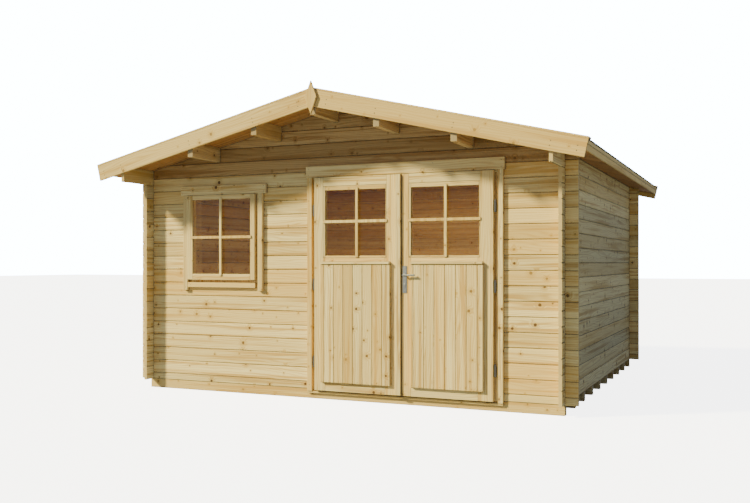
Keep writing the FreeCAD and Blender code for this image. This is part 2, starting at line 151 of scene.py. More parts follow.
side_share = calc(t, "MULTIPLY_ADD", halo, calc(t, "MULTIPLY", has_knot, 0.45), side_share)
side_share = calc(t, "MULTIPLY_ADD", calc(t, "SUBTRACT", fibre, 0.5), 0.5, side_share)
pith = vector(t, 0.0, calc(t, "ADD", part[1], 0.03), calc(t, "ADD", part[2], 0.06))
rings = tree_node(t, "VectorMath", {0: pith}, operation="LENGTH").outputs["Value"]
rings = calc(t, "ADD", calc(t, "MULTIPLY", rings, 230.0), calc(t, "MULTIPLY", drift, 2.0))
end_share = calc(t, "MULTIPLY_ADD", calc(t, "SINE", calc(t, "MULTIPLY", rings, 6.2832)), 0.28, 0.5)
share = tree_node(t, "Mix", {0: take["End face"], 2: side_share, 3: end_share},
                  data_type="FLOAT", clamp_factor=True).outputs[0]
share = calc(t, "MAXIMUM", calc(t, "MINIMUM", share, 1.0), 0.0)
wood = blend_colours(t, share, take["Pale wood"], take["Late wood"])
heart = ramp(t, from_knot, 0.25, 1.0, 0.85, 1.0)
wood = blend_colours(t, calc(t, "MULTIPLY", knot, heart), wood, take["Knot wood"])
relief = calc(t, "MULTIPLY_ADD", fibre, 0.5, calc(t, "MULTIPLY", late, 0.6))
relief = calc(t, "SUBTRACT", relief, calc(t, "MULTIPLY", knot, 0.5))
link_out(t, give, {"Color": wood, "Relief": relief, "Knot": knot, "Late": late})

# Which log or board a point belongs to: steps along two axes give each one its own seed and tone.
piece_tone, take, give = new_group(
    "Piece tone",
    [("Step one", "Float", 0.0), ("Step two", "Float", 0.0), ("Spread", "Float", 0.16)],
    [("Seed", "Float"), ("Tone", "Float"), ("Warmth", "Float")])
t = piece_tone
place = vector(t, calc(t, "FLOOR", take["Step one"]), calc(t, "FLOOR", take["Step two"]), 0.37)
dice = tree_node(t, "TexWhiteNoise", {"Vector": place}, noise_dimensions="3D").outputs
parts = tree_node(t, "SeparateColor", {0: dice["Color"]}).outputs
tone = calc(t, "MULTIPLY_ADD", calc(t, "SUBTRACT", parts[0], 0.5), take["Spread"], 1.0)
link_out(t, give, {"Seed": parts[1], "Tone": tone, "Warmth": parts[2]})

# Worn arris: a mask along the edges, from the bevelled normal.
worn_edge, take, give = new_group("Worn edge", [("Width", "Float", 0.003)], [("Mask", "Float")])
t = worn_edge
soft = tree_node(t, "Bevel", {"Radius": take["Width"]}, samples=4).outputs[0]
true = tree_node(t, "NewGeometry").outputs["Normal"]
apart = tree_node(t, "VectorMath", {0: soft, 1: true}, operation="DOT_PRODUCT").outputs["Value"]
link_out(t, give, {"Mask": ramp(t, apart, 0.985, 0.8)})


# Joint shade, painted: a mask from ambient occlusion that gathers in grooves and where two pieces meet, and
# darkens the colour there as painted shade.
painted_joint_shade, take, give = new_group("Joint shade", [("Reach", "Float", 0.011)], [("Mask", "Float")])
t = painted_joint_shade
open_share = tree_node(t, "AmbientOcclusion", {"Distance": take["Reach"]}, samples=6).outputs["AO"]
link_out(t, give, {"Mask": ramp(t, open_share, 0.95, 0.42)})


def pine(name, axis, pale, late, steps=(), spread=0.16, knots=0.65, shade=0.75, slope=None,
         end=(0.27, 0.22, 0.14, 1)):
    """Bare pine with its grain along the axis. The steps are two (axis, start, length) that part one
    piece from the next; without them each face's board number does. slope is the roof's (cos, sin)."""
    made = bpy.data.materials.new(name)
    made.use_nodes = True
    t = made.node_tree
    shader = t.nodes["Principled BSDF"]
    knot_wood = (0.060, 0.018, 0.004, 1)
    spot = tree_node(t, "TexCoord").outputs
    where = tree_node(t, "SeparateXYZ", {0: spot["Object"]}).outputs
    if slope:
        # the grain follows the roof's slope on either side of the ridge
        out = calc(t, "ABSOLUTE", where[0])
        along = calc(t, "MULTIPLY_ADD", out, slope[0], calc(t, "MULTIPLY", where[2], -slope[1]))
        up = calc(t, "MULTIPLY_ADD", out, slope[1], calc(t, "MULTIPLY", where[2], slope[0]))
        where = (along, where[1], up)
    facing = tree_node(t, "SeparateXYZ", {0: spot["Normal"]}).outputs
    order = {"X": (0, 2, 1), "Y": (1, 2, 0), "Z": (2, 0, 1)}[axis]
    group = tree_node(t, "Group")
    group.node_tree = piece_tone
    group.inputs["Spread"].default_value = spread
    if not steps:
        t.links.new(tree_node(t, "Attribute", attribute_name="board").outputs["Fac"], group.inputs[0])
    for index, (step_axis, start, length) in enumerate(steps):
        spot_on = where["XYZ".index(step_axis)]
        count = calc(t, "DIVIDE", calc(t, "SUBTRACT", spot_on, start), length)
        t.links.new(count, group.inputs[index])
    grain = vector(t, where[order[0]], where[order[1]], where[order[2]])
    figure = tree_node(t, "Group")
    figure.node_tree = pine_figure
    t.links.new(grain, figure.inputs["Vector"])
    t.links.new(group.outputs["Seed"], figure.inputs["Seed"])
    end_face = ramp(t, calc(t, "ABSOLUTE", facing[order[0]]), 0.85, 0.95)
    t.links.new(end_face, figure.inputs["End face"])
    figure.inputs["Pale wood"].default_value = pale
    figure.inputs["Late wood"].default_value = late
    figure.inputs["Knot wood"].default_value = knot_wood
    figure.inputs["Knots"].default_value = knots
    warm = tuple(c * w for c, w in zip(late, (1.22, 1.14, 0.80))) + (1,)
    warmth = calc(t, "MULTIPLY", calc(t, "POWER", group.outputs["Warmth"], 1.6), 0.60)
    colour = blend_colours(t, warmth, figure.outputs["Color"], warm)
    tone = group.outputs["Tone"]
    grey = tree_node(t, "CombineColor", {0: tone, 1: tone, 2: tone}).outputs[0]
    colour = blend_colours(t, 1.0, colour, grey, "MULTIPLY")
    edge = tree_node(t, "Group")
    edge.node_tree = worn_edge
    worn = tuple(min(1.0, c * 1.12) for c in pale[:3]) + (1,)
    colour = blend_colours(t, calc(t, "MULTIPLY", edge.outputs["Mask"], 0.35), colour, worn)
    colour = blend_colours(t, calc(t, "MULTIPLY", end_face, 0.6), colour, end)
    # painted shade: the ambient-occlusion mask, times shade, darkens the colour toward a dark late-wood tone
    # in grooves, gaps and where pieces meet
    painted_shade_node = tree_node(t, "Group")
    painted_shade_node.node_tree = painted_joint_shade
    dark = tuple(c * w for c, w in zip(late, (0.30, 0.34, 0.62))) + (1,)
    colour = blend_colours(t, calc(t, "MULTIPLY", painted_shade_node.outputs["Mask"], shade), colour, dark)
    t.links.new(colour, shader.inputs["Base Color"])
    t.links.new(calc(t, "MULTIPLY_ADD", figure.outputs["Late"], -0.10, 0.67), shader.inputs["Roughness"])
    bump = tree_node(t, "Bump", {"Strength": 0.35, "Distance": 0.0012, "Height": figure.outputs["Relief"]})
    t.links.new(bump.outputs[0], shader.inputs["Normal"])
    shader.inputs["Specular IOR Level"].default_value = 0.3
    return made


def dress(names, material):
    for name in names:
        data = nodes[name].data
        data.materials.clear()
        data.materials.append(material)


PALE = (0.950, 0.770, 0.380, 1)
LATE = (0.600, 0.380, 0.125, 1)
bearer_pine = pine("Bearer pine", "X", PALE, LATE, [("Y", -1.78, 0.3822), ("Z", -1.0, 9.0)])
dress(["floor_bearers"], bearer_pine)


# Floor: planed tongued pine boards laid from front to rear and nailed to the bearers.
# They stop short of the door frame in the doorway's bay.
def start_mesh():
    made = bmesh.new()
    made.faces.layers.float.new("board")
    return made


def ease(mesh, edges, bevel, segments):
    bmesh.ops.bevel(mesh, geom=edges, offset=bevel, segments=segments, affect="EDGES", clamp_overlap=True)


def add_block(mesh, local, bevel, segments):
    """Eases the edges of the block and adds it to the mesh, with a board number of its own."""
    layer = mesh.faces.layers.float["board"]
    bmesh.ops.recalc_face_normals(local, faces=local.faces)
    ease(local, local.edges[:], bevel, segments)
    seed = chance.random() * 900.0
    copies = {v: mesh.verts.new(v.co) for v in local.verts}
    for face in local.faces:
        made = mesh.faces.new([copies[v] for v in face.verts])
        made[layer] = seed
    local.free()


def add_board(mesh, corners, bevel=0.0015, segments=1):
    """corners are the eight corners: four of one end in order, then the four of the other end."""
    local = bmesh.new()
    verts = [local.verts.new(c) for c in corners]
    for quad in ((3, 2, 1, 0), (4, 5, 6, 7), (0, 1, 5, 4), (1, 2, 6, 5), (2, 3, 7, 6), (3, 0, 4, 7)):
        local.faces.new([verts[i] for i in quad])
    add_block(mesh, local, bevel, segments)


def box_corners(x0, x1, y0, y1, z0, z1):
    return [(x, y, z) for y in (y0, y1) for x, z in ((x0, z0), (x1, z0), (x1, z1), (x0, z1))]


def finish_piece(mesh, name, material, body, replaced=()):
    data = bpy.data.meshes.new(name)
    mesh.to_mesh(data)
    mesh.free()
    data.materials.append(material)
    made = bpy.data.objects.new(name, data)
    bpy.context.scene.collection.objects.link(made)
    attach(made, body)
    if replaced:
        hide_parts(*replaced)
    return made


floor_pine = pine("Floor pine", "Y", (0.72, 0.50, 0.19, 1), (0.52, 0.29, 0.07, 1))
low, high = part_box("floor_boards")
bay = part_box("door_head")
mesh = start_mesh()
count = 40
width = (high.x - low.x) / count
for i in range(count):
    x0 = low.x + i * width
    in_bay = x0 + width > bay[0].x - 0.002 and x0 < bay[1].x + 0.002
    y0 = bay[1].y + 0.001 if in_bay else low.y
    add_board(mesh, box_corners(x0 + 0.0003, x0 + width - 0.0003, y0, high.y, low.z, high.z))
finish_piece(mesh, "floor_planks", floor_pine, "house", ["floor_boards"])


# Walls: planed pine logs 28 mm thick, tongued on top and grooved below, with bevelled edges.
# They are stacked dry and cross in notches at the corners, where their ends run on.
COURSE = 0.12
LONG_BASE = 0.14
CROSS_BASE = 0.08


def courses(base, below, steps_y):
    """Each course of logs is one piece. Those below the sill count on, so every log has its own number."""
    return [("Z", base - below * COURSE, COURSE), ("Y", steps_y, 10.0)]


front_logs = pine("Front log pine", "X", PALE, LATE, courses(LONG_BASE, 3, -9.0), spread=0.30)
front_right_logs = pine("Front log pine right", "X", PALE, LATE, courses(LONG_BASE, 9, -9.0), spread=0.30)
# The gable logs are the same pine as the wall's, coloured darker and more orange: painted shade for the gable
# under the roof's overhang.
gable_logs = pine("Shaded gable log pine", "X", (0.66, 0.49, 0.245, 1), (0.31, 0.175, 0.065, 1),
                  courses(LONG_BASE, 3, -9.0), spread=0.30)
rear_logs = pine("Rear log pine", "X", PALE, LATE, courses(LONG_BASE, 3, -29.0), spread=0.30)
# The side walls' pine is greyer and cooler than the front's: painted shade for the right side wall, which
# stands in shade; the left wall and the wall plates share it.
shaded_side_logs = pine("Shaded side log pine", "Y", (0.76, 0.65, 0.36, 1), (0.48, 0.33, 0.12, 1),
                 [("Z", CROSS_BASE - 3 * COURSE, COURSE), ("X", -9.0, 9.0)],
                 spread=0.42, knots=0.8, end=(0.74, 0.52, 0.22, 1))
dress(["front_wall_left_logs"], front_logs)
dress(["front_wall_right_logs"], front_right_logs)
dress(["front_gable_logs"], gable_logs)
dress(["rear_wall_logs", "rear_gable_logs"], rear_logs)
dress(["left_wall_logs", "right_wall_logs", "wall_plates"], shaded_side_logs)


# Purlins: five planed pine beams from gable to gable, let into the gable logs.
# They run out under the roof to the bargeboards.
beam_pine = pine("Purlin pine", "Y", (0.74, 0.56, 0.28, 1), (0.44, 0.28, 0.11, 1),
                 [("X", -4.7, 0.4), ("Z", -1.0, 9.0)])
dress(["ridge_purlin", "purlins"], beam_pine)


# Roof boards: narrow tongued pine boards nailed to the purlins from ridge to eave.
# Their edges make V-joints on the underside.
ROOF_TAN = 0.2382
COS = 1.0 / math.hypot(1.0, ROOF_TAN)
SIN = ROOF_TAN * COS
RIDGE = 2.472
SLOPE_END = 2.2327


def on_slope(side, s, n, y):
    return (side * (s * COS + n * SIN), y, RIDGE - s * SIN + n * COS)


def slope_corners(side, s0, s1, n0, n1, y0, y1):
    """A block lying in the roof's slope. Where s0 is None the upper end is cut plumb at the ridge."""
    corners = []
    for y in (y0, y1):
        if s0 is None:
            inner = [(side * 0.0004, y, RIDGE + n / COS - 0.0004 * ROOF_TAN) for n in (n0, n1)]
        else:
            inner = [on_slope(side, s0, n, y) for n in (n0, n1)]
        corners += [inner[0], on_slope(side, s1, n0, y), on_slope(side, s1, n1, y), inner[1]]
    return corners


ROOF_SLOPE = (COS, SIN)
BOARD_T = 0.019
# The roof boards' pine is darker and more orange than the walls': painted shade for the soffit under the
# eaves.
shaded_roof_pine = pine("Shaded roof board pine", "X", (0.60, 0.33, 0.12, 1), (0.36, 0.16, 0.045, 1), slope=ROOF_SLOPE)
low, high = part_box("roof_boards")
mesh = start_mesh()
count = 46
width = (high.y - low.y) / count
for side in (-1, 1):
    for i in range(count):
        y0 = low.y + i * width
        y1 = y0 + width
        corners = slope_corners(side, None, SLOPE_END - 0.0205, 0.0, BOARD_T, y0 + 0.0003, y1 - 0.0003)
        add_board(mesh, corners, bevel=0.003)
finish_piece(mesh, "roof_planks", shaded_roof_pine, "house", ["roof_boards"])


# Underlay and felt: a stiff layer over the boards, then strips of dark mineral felt lapped down the slope.
# A folded strip stiffens each side, and a drip edge hangs at the eave.
felt_look = bpy.data.materials.new("Mineral felt")
felt_look.use_nodes = True
t = felt_look.node_tree
shader = t.nodes["Principled BSDF"]
spot = tree_node(t, "TexCoord").outputs["Object"]
grit = tree_node(t, "TexVoronoi", {"Vector": spot, "Scale": 700.0})
patch = noise(t, spot, 2.2, 5.0)
speck = calc(t, "MULTIPLY", tree_node(t, "SeparateColor", {0: grit.outputs["Color"]}).outputs[0], 0.6)
share = calc(t, "ADD", speck, calc(t, "MULTIPLY", patch, 0.5))
colour = blend_colours(t, share, (0.012, 0.013, 0.014, 1), (0.075, 0.078, 0.08, 1))
t.links.new(colour, shader.inputs["Base Color"])
t.links.new(calc(t, "MULTIPLY_ADD", patch, 0.2, 0.75), shader.inputs["Roughness"])
bump = tree_node(t, "Bump", {"Strength": 0.6, "Distance": 0.0015, "Height": grit.outputs["Distance"]})
t.links.new(bump.outputs[0], shader.inputs["Normal"])
underlay_look = pine("Underlay board", "X", (0.50, 0.47, 0.40, 1), (0.42, 0.39, 0.33, 1),
                     [("Y", -9.0, 0.62), ("X", -9.0, 1.2)], knots=0.0)
dress(["roof_underlay"], underlay_look)

low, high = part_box("roof_felt")
mesh = start_mesh()
strips = 3
run = (SLOPE_END + 0.003) / strips
FELT_N = 0.0672
LAP_N = 0.0700
FOLD = 0.0735
inner_y = (low.y + FOLD + 0.0005, high.y - FOLD - 0.0005)
for side in (-1, 1):
    for i in range(strips):
        top = None if i == 0 else i * run
        add_board(mesh, slope_corners(side, top, (i + 1) * run, FELT_N, 0.0705, low.y, high.y), bevel=0.0008)
    for y0, y1 in ((low.y, low.y + FOLD), (high.y - FOLD, high.y)):
        add_board(mesh, slope_corners(side, None, SLOPE_END - 0.001, LAP_N, 0.0776, y0, y1), bevel=0.002)
    for i in range(1, strips):
        lap = slope_corners(side, i * run - 0.03, i * run + 0.06, LAP_N, 0.0722, *inner_y)
        add_board(mesh, lap, bevel=0.0008)
    add_board(mesh, slope_corners(side, None, 0.16, LAP_N, 0.0730, *inner_y), bevel=0.0008)
    drip = slope_corners(side, SLOPE_END - 0.014, SLOPE_END + 0.003, FELT_N, 0.0775, *inner_y)
    add_board(mesh, drip, bevel=0.002, segments=2)
finish_piece(mesh, "felt_strips", felt_look, "house", ["roof_felt"])


# Bargeboards and caps: planed pine boards nailed over the purlin ends at both gables, with a flat cap on top.
# A sawn diamond covers the joint at the ridge.
barge_pine = pine("Barge pine", "X", PALE, LATE, shade=0.6, slope=ROOF_SLOPE)
BARGE_Y = 2.19
for name, n0, n1, depth, replaced in (("barge_planks", -0.0572, 0.0778, 0.02, "bargeboards"),
                                      ("barge_caps", 0.0780, 0.0934, 0.09, "bargeboard_caps")):
    mesh = start_mesh()
    for wall in (-1, 1):
        ya, yb = sorted((wall * BARGE_Y, wall * (BARGE_Y - depth)))
        for side in (-1, 1):
            add_board(mesh, slope_corners(side, None, SLOPE_END, n0, n1, ya, yb), bevel=0.0018, segments=2)
    finish_piece(mesh, name, barge_pine, "house", [replaced])


def metal(name, dark, light, rough=0.25):
    made = bpy.data.materials.new(name)
    made.use_nodes = True
    t = made.node_tree
    shader = t.nodes["Principled BSDF"]
    spot = tree_node(t, "TexCoord").outputs["Object"]
    lines = tree_node(t, "Mapping", {"Vector": spot, "Scale": (900.0, 900.0, 40.0)}).outputs[0]
    brushed = noise(t, lines, 1.0, 3.0)
    smudge = noise(t, spot, 35.0, 4.0)
    t.links.new(blend_colours(t, brushed, dark, light), shader.inputs["Base Color"])
    t.links.new(calc(t, "MULTIPLY_ADD", smudge, 0.25, rough), shader.inputs["Roughness"])
    bump = tree_node(t, "Bump", {"Strength": 0.15, "Distance": 0.0004, "Height": brushed})
    t.links.new(bump.outputs[0], shader.inputs["Normal"])
    shader.inputs["Metallic"].default_value = 1.0
    return made


def add_heads(mesh, spots, facing, radius, rise, sides=12):
    """Low domed heads, all facing one way."""
    facing = Vector(facing).normalized()
    across = facing.orthogonal().normalized()
    up = facing.cross(across)
    for spot in spots:
        rings = []
        for share, lift in ((1.0, -0.3), (1.0, 0.25), (0.8, 0.75), (0.4, 1.0)):
            centre = Vector(spot) + facing * rise * lift
            wide = radius * share
            ring = []
            for i in range(sides):
                turn = math.tau * i / sides
                ring.append(mesh.verts.new(centre + (across * math.cos(turn) + up * math.sin(turn)) * wide))
            rings.append(ring)
        for lower, upper in zip(rings, rings[1:]):
            for i in range(sides):
                k = (i + 1) % sides
                mesh.faces.new([lower[i], lower[k], upper[k], upper[i]])
        mesh.faces.new(rings[-1])
        mesh.faces.new(rings[0][::-1])


def nail(name, spots, facing, body="house", radius=0.0032, rise=0.0011):
    mesh = start_mesh()
    add_heads(mesh, spots, facing, radius, rise, 10)
    return finish_piece(mesh, name, nail_steel, body)


nail_steel = metal("Nail steel", (0.06, 0.055, 0.05, 1), (0.17, 0.155, 0.14, 1), rough=0.45)
for wall, name in ((-1, "front"), (1, "rear")):
    spots = []
    for side in (-1, 1):
        for x in (0.13, 0.555, 1.190, 1.919, 2.11):
            spots += [on_slope(side, x / COS, n, wall * BARGE_Y) for n in (-0.020, 0.016)]
    nail(name + "_barge_nails", spots, (0, wall, 0), radius=0.0042)


def soft_copy(name, node, material, body, bevel=0.0015, segments=2):
    """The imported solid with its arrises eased, one seed for each separate block."""
    mesh = bmesh.new()
    mesh.from_mesh(nodes[node].data)
    bmesh.ops.remove_doubles(mesh, verts=mesh.verts, dist=0.00002)
    bmesh.ops.dissolve_limit(mesh, angle_limit=0.02, verts=mesh.verts, edges=mesh.edges)
    sharp = [e for e in mesh.edges if len(e.link_faces) == 2 and e.calc_face_angle(0.0) > 0.5]
    ease(mesh, sharp, bevel, segments)
    layer = mesh.faces.layers.float.new("board")
    left = set(mesh.faces)
    while left:
        seed = chance.random() * 900.0
        queue = [left.pop()]
        while queue:
            face = queue.pop()
            face[layer] = seed
            for edge in face.edges:
                for other in edge.link_faces:
                    if other in left:
                        left.discard(other)
                        queue.append(other)
    return finish_piece(mesh, name, material, body, [node])


trim_pine_z = pine("Upright trim pine", "Z", PALE, LATE, shade=0.6)
soft_copy("ridge_diamonds", "gable_diamonds", trim_pine_z, "house")


# Eave boards: two planed pine boards one over the other along each eave.
# They close the ends of the roof boards and of the layer under the felt.
trim_pine_y = pine("Eave pine", "Y", PALE, LATE, knots=0.5)
soft_copy("eave_boards", "eave_fascias", trim_pine_y, "house")


# Door frame: pine jambs, head and sill set in the wall, cased outside with planed trims.
# A narrow ledge under the leaves throws off the rain.
trim_pine_x = pine("Level trim pine", "X", PALE, LATE, knots=0.75, shade=0.6)
soft_copy("jamb_posts", "door_jambs", trim_pine_z, "house")
soft_copy("head_beam", "door_head", trim_pine_x, "house")
soft_copy("sill_beam", "door_sill", trim_pine_x, "house")
soft_copy("side_casings", "door_side_trims", trim_pine_z, "house")
soft_copy("head_casing", "door_head_trim", trim_pine_x, "house")
soft_copy("rain_ledge", "door_ledge", trim_pine_x, "house")
side_low, side_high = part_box("door_side_trims")
head_low, head_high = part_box("door_head_trim")
spots = []
for x in (side_low.x + 0.022, side_high.x - 0.020):
    spots += [(x, side_low.y, z) for z in (0.12, 0.56, 1.0, 1.44, 1.85)]
for x in (-0.25, 0.30, 0.88, 1.445):
    spots += [(x, head_low.y, z) for z in (head_low.z + 0.022, head_high.z - 0.022)]
nail("door_casing_nails", spots, (0, -1, 0), radius=0.0026)


# Door leaves: planed pine stiles and rails mortised together, glazed above and boarded below.
# The stiles are rebated behind the boards, and are narrower there than beside the glass.
PLAY = 0.0004
leaves = {}
for name in ("left", "right"):
    low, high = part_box(name + "_door_frame")
    glass_low, glass_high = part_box(name + "_door_glass")
    panel_low, panel_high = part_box(name + "_door_panel")
    leaves[name] = (low.x, high.x, glass_low.x - PLAY, glass_high.x + PLAY)
leaf_y0, leaf_y1 = low.y, high.y
leaf_z0, leaf_z1 = low.z, high.z
GLASS_LOW = glass_low.z - PLAY
GLASS_HIGH = glass_high.z + PLAY
REBATE = 0.018
RAIL_LAP = 0.032
RAIL_SET_IN = 0.0006


def add_prism(mesh, outline, y0, y1, bevel=0.0018, segments=2):
    """A block with an outline in x and z, run from y0 to y1."""
    local = bmesh.new()
    near = [local.verts.new((x, y0, z)) for x, z in outline]
    far = [local.verts.new((x, y1, z)) for x, z in outline]
    local.faces.new(near)
    local.faces.new(far[::-1])
    for i in range(len(outline)):
        k = (i + 1) % len(outline)
        local.faces.new([near[k], near[i], far[i], far[k]])
    add_block(mesh, local, bevel, segments)


for name, (x0, x1, g0, g1) in leaves.items():
    body = name + "_door"
    mesh = start_mesh()
    for outer, inner, side in ((x0, g0, 1), (x1, g1, -1)):
        wide = inner + side * REBATE
        foot = [(outer, leaf_z0), (wide, leaf_z0), (wide, GLASS_LOW)]
        add_prism(mesh, foot + [(inner, GLASS_LOW), (inner, leaf_z1), (outer, leaf_z1)], leaf_y0, leaf_y1)
    finish_piece(mesh, body + "_stiles", trim_pine_z, body, [body + "_frame"])
    mesh = start_mesh()
    rail_y = (leaf_y0 + RAIL_SET_IN, leaf_y1 - RAIL_SET_IN)
    for za, zb in ((leaf_z0, panel_low.z + RAIL_LAP), (panel_high.z - RAIL_LAP, GLASS_LOW)):
        add_board(mesh, box_corners(g0 + REBATE, g1 - REBATE, *rail_y, za, zb), bevel=0.0016)
    add_board(mesh, box_corners(g0, g1, *rail_y, GLASS_HIGH, leaf_z1), bevel=0.0016)
    finish_piece(mesh, body + "_rails", trim_pine_x, body)


# Door boards: eight V-jointed pine boards nailed over the lower part of each leaf, under a bevelled
# cap rail. A pine strip on the left leaf covers the gap where the leaves meet.
board_pine = pine("Door board pine", "Z", PALE, LATE, knots=0.7, spread=0.2)
first_and_pitch = {"left": (0.038, 0.0885), "right": (0.026, 0.0895)}
for name in leaves:
    body = name + "_door"
    low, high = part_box(body + "_panel")
    mesh = start_mesh()
    first, pitch = first_and_pitch[name]
    cuts = [low.x] + [low.x + first + i * pitch for i in range(7)] + [high.x]
    for xa, xb in zip(cuts, cuts[1:]):
        add_board(mesh, box_corners(xa + 0.0002, xb - 0.0002, low.y, high.y, low.z, high.z), bevel=0.004)
    finish_piece(mesh, body + "_boards", board_pine, body, [body + "_panel"])
    middles = [0.5 * (xa + xb) for xa, xb in zip(cuts, cuts[1:])]
    spots = [(x, low.y, z) for x in middles for z in (low.z + 0.016, high.z - 0.016)]
    nail(body + "_board_nails", spots, (0, -1, 0), body, radius=0.0022)
    soft_copy(body + "_capping", body + "_cap_rail", trim_pine_x, body, bevel=0.006)
soft_copy("left_door_meeting_strip", "left_door_strip", trim_pine_z, "left_door", bevel=0.003)


# Panes: clear sheet glass, one sheet in each leaf and one in the sash, set in rebates.
# Shadow rays pass through, so the room behind is lit.
glass = bpy.data.materials.new("Clear pane")
glass.use_nodes = True
t = glass.node_tree
shader = t.nodes["Principled BSDF"]
spot = tree_node(t, "TexCoord").outputs["Object"]
film = noise(t, spot, 6.0, 3.0)
colour = blend_colours(t, film, (0.93, 0.96, 0.95, 1), (0.98, 0.99, 0.985, 1))
t.links.new(colour, shader.inputs["Base Color"])
t.links.new(calc(t, "MULTIPLY_ADD", film, 0.03, 0.01), shader.inputs["Roughness"])
shader.inputs["Transmission Weight"].default_value = 1.0
shader.inputs["IOR"].default_value = 1.45
shader.inputs["Alpha"].default_value = 0.5
clear = tree_node(t, "BsdfTransparent")
path = tree_node(t, "LightPath").outputs["Is Shadow Ray"]
mixed = tree_node(t, "MixShader", {0: path, 1: shader.outputs[0], 2: clear.outputs[0]})
t.links.new(mixed.outputs[0], t.nodes["Material Output"].inputs["Surface"])
dress(["left_door_glass", "right_door_glass", "window_glass"], glass)


# Glazing bars: slim pine bars crossed on the face of each pane and halved together, with their ends
# lapped on the frame. Thin beads hold the pane from both sides.
def glazing_cross(mesh, x_mid, z_mid, x0, x1, z0, z1, face):
    """face is the front of the frame that the bars lie on."""
    half = 0.013
    y0 = face - 0.009
    y1 = face - 0.0003
    add_board(mesh, box_corners(x_mid - half, x_mid + half, y0, y1, z0, z1), bevel=0.003, segments=2)
    add_board(mesh, box_corners(x0, x1, y0 + 0.0008, y1, z_mid - half, z_mid + half), bevel=0.003, segments=2)


BEAD = 0.0175
BEAD_TOP = 0.036
bar_x = {"left": 0.216, "right": 0.996}
BAR_Z = 1.506
pane_y = (-1.7773, -1.7727)
bead_z = (GLASS_LOW + PLAY, GLASS_HIGH - PLAY)
for name, (x0, x1, g0, g1) in leaves.items():
    body = name + "_door"
    mesh = start_mesh()
    bar_top = GLASS_HIGH - BEAD_TOP + 0.018
    glazing_cross(mesh, bar_x[name], BAR_Z, g0, g1 + 0.008, GLASS_LOW + 0.002, bar_top, leaf_y0)
    finish_piece(mesh, body + "_glazing_bars", trim_pine_z, body)
    upright = start_mesh()
    level = start_mesh()
    for y0, y1 in ((leaf_y0 + 0.0015, pane_y[0]), (pane_y[1], leaf_y1 - 0.0015)):
        for xa, xb in ((g0 + PLAY, g0 + BEAD), (g1 - 0.5 * BEAD, g1 - PLAY)):
            add_board(upright, box_corners(xa, xb, y0, y1, *bead_z), bevel=0.0022, segments=2)
        for za, zb in ((bead_z[0], GLASS_LOW + BEAD), (GLASS_HIGH - BEAD_TOP, bead_z[1])):
            corners = box_corners(g0 + BEAD, g1 - 0.5 * BEAD, y0, y1, za, zb)
            add_board(level, corners, bevel=0.0022, segments=2)
    finish_piece(upright, body + "_upright_beads", trim_pine_z, body)
    finish_piece(level, body + "_level_beads", trim_pine_x, body)


# Hinges and handle: turned steel barrels with pegs screwed into leaf and jamb, closed by domed caps,
# and a lever handle on long steel plates with two screws and a key plate.
steel = metal("Satin steel", (0.34, 0.34, 0.33, 1), (0.52, 0.52, 0.51, 1))
zinc = metal("Zinc-plated steel", (0.11, 0.105, 0.10, 1), (0.27, 0.265, 0.255, 1), rough=0.36)
dress(["left_frame_hinges", "right_frame_hinges", "left_door_hinges", "right_door_hinges"], zinc)
dress(["door_lever"], steel)
soft_copy("right_door_long_plates", "right_door_plates", steel, "right_door", bevel=0.001)

HINGE_Z = (0.320, 0.977, 1.605)
HINGE_Y = -1.779
BARREL_R = 0.009
BARREL_HALF = 0.047
for name in ("left", "right"):
    pairs = ((name + "_door_hinges", name + "_door", 1), (name + "_frame_hinges", "house", -1))
    for node, body, facing in pairs:
        low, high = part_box(node)
        axis_x = low.x + BARREL_R if name == "left" else high.x - BARREL_R
        spots = [(axis_x, HINGE_Y, z + facing * BARREL_HALF) for z in HINGE_Z]
        mesh = start_mesh()
        add_heads(mesh, spots, (0, 0, facing), 0.0082, 0.003)
        finish_piece(mesh, node + "_caps", zinc, body)

plate_low, plate_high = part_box("right_door_plates")
plate_x = 0.5 * (plate_low.x + plate_high.x)
plate_y = plate_low.y
SCREW_IN = 0.014
ROSE_DOWN = 0.073
CYLINDER_DOWN = 0.150
mesh = start_mesh()
screws = [(plate_x, plate_y, z) for z in (plate_low.z + SCREW_IN, plate_high.z - SCREW_IN)]
add_heads(mesh, screws, (0, -1, 0), 0.0042, 0.0016)
add_heads(mesh, [(plate_x, plate_y, plate_high.z - ROSE_DOWN)], (0, -1, 0), 0.0135, 0.004, 24)
add_heads(mesh, [(plate_x, plate_y, plate_high.z - CYLINDER_DOWN)], (0, -1, 0), 0.0085, 0.0035, 20)
slot_z = (plate_high.z - 0.178, plate_high.z - 0.154)
key_plate = box_corners(plate_x - 0.005, plate_x + 0.005, plate_y - 0.0032, plate_y, *slot_z)
add_board(mesh, key_plate, bevel=0.0012)
finish_piece(mesh, "right_door_plate_fittings", steel, "right_door")


# Window: a pine frame set in the wall with a glazed sash of four panes.
# Planed trims and a sill strip case it outside, nailed to the logs.
low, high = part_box("window_sash")
glass_low, glass_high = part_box("window_glass")
px0 = glass_low.x - PLAY
px1 = glass_high.x + PLAY
pz0 = glass_low.z - PLAY
pz1 = glass_high.z + PLAY
mesh = start_mesh()
for xa, xb in ((low.x, px0), (px1, high.x)):
    add_board(mesh, box_corners(xa, xb, low.y, high.y, low.z, high.z), bevel=0.0018, segments=2)
finish_piece(mesh, "sash_stiles", trim_pine_z, "house", ["window_sash"])
mesh = start_mesh()
for za, zb in ((low.z, pz0), (pz1, high.z)):
    corners = box_corners(px0 - 0.0002, px1 + 0.0002, low.y + 0.0003, high.y - 0.0003, za, zb)
    add_board(mesh, corners, bevel=0.0012)
finish_piece(mesh, "sash_rails", trim_pine_x, "house")
mesh = start_mesh()
SASH_BAR_X = -1.135
SASH_BAR_Z = 1.3895
LAP = 0.016
